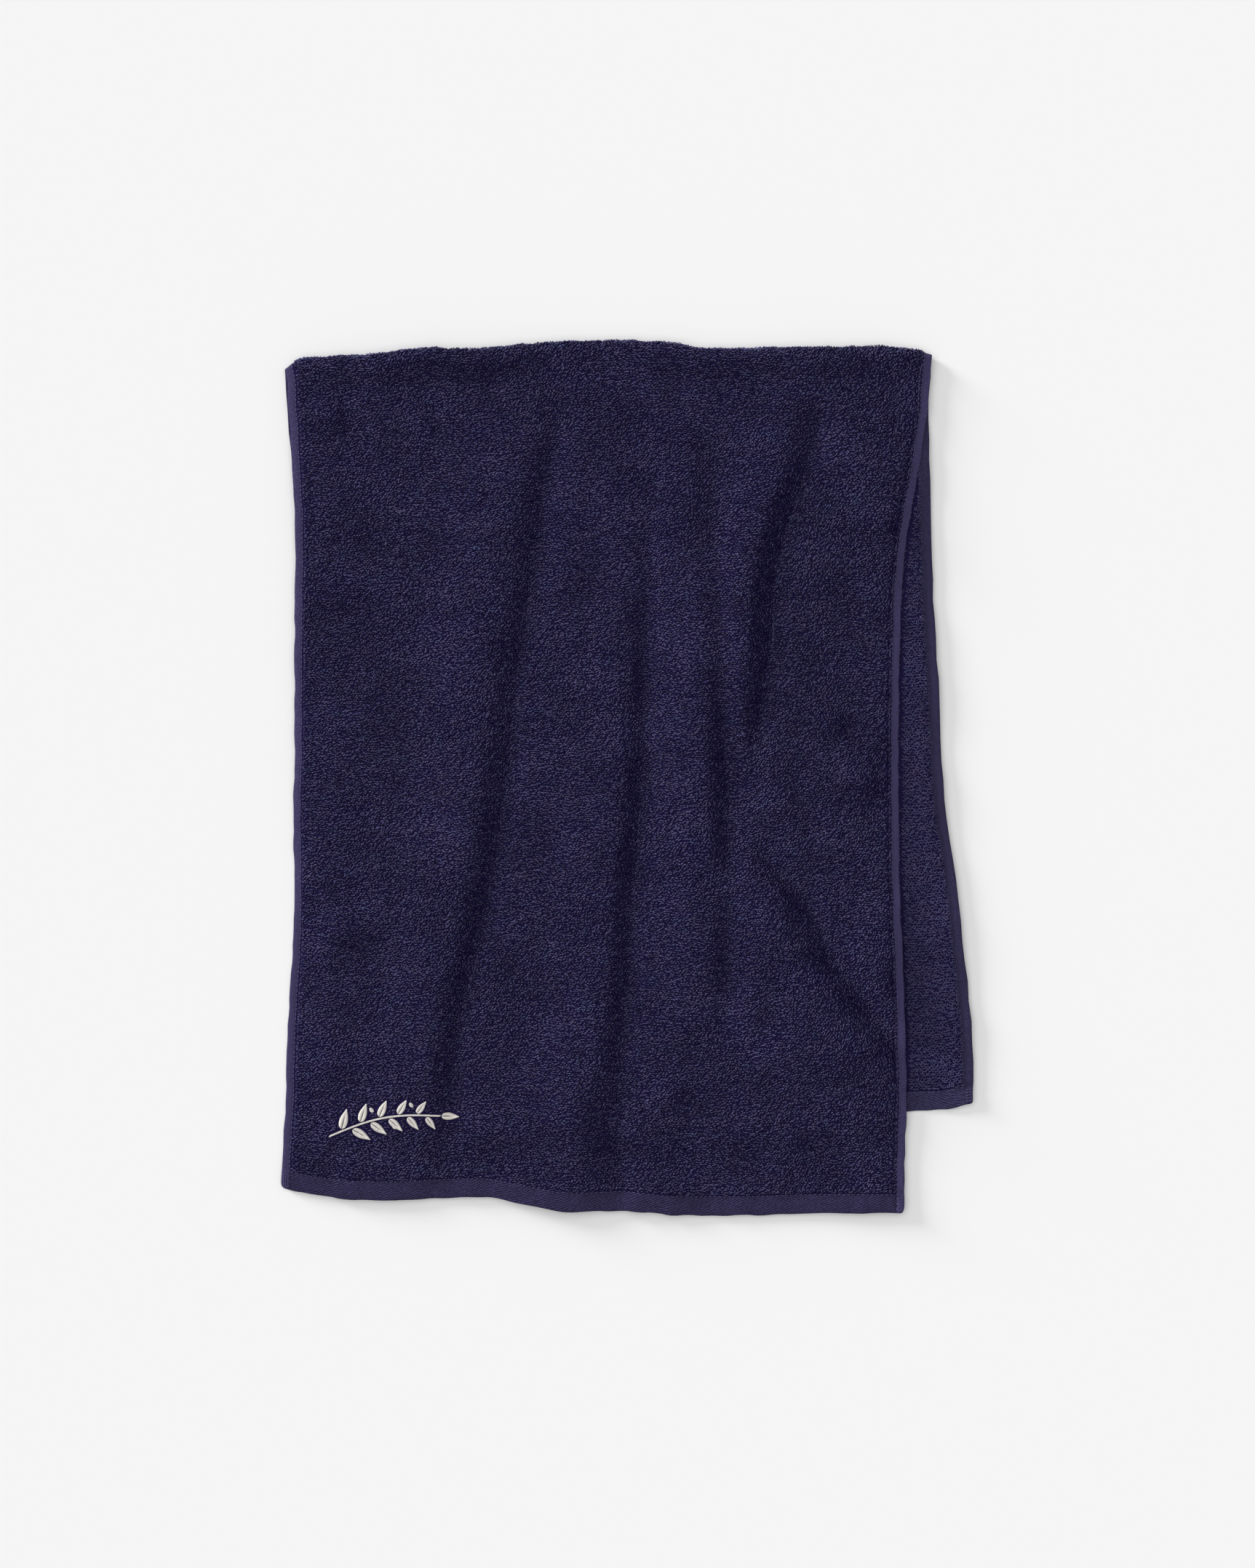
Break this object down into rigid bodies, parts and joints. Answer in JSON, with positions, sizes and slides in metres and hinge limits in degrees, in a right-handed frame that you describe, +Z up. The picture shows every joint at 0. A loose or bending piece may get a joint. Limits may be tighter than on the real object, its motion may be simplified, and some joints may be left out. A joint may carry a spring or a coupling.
{
  "type": "face towel",
  "caption": "Cotton terry face towel folded once across its length and laid flat, with hemmed edges, soft folds and the lower layer showing askew at one side.",
  "frame": {"origin": "centre of the folded towel's outline, on the surface that it lies on", "axes": "+Y along the towel's length towards its fold, +X across it to the right, +Z up out of the surface"},
  "size_m": [0.3646, 0.4608, 0.0125],
  "materials": {
    "terry_cloth": "matte navy cotton loop pile with flat twill hems"
  },
  "bodies": {
    "root": {"face_towel": "terry_cloth"}
  },
  "joints": []
}
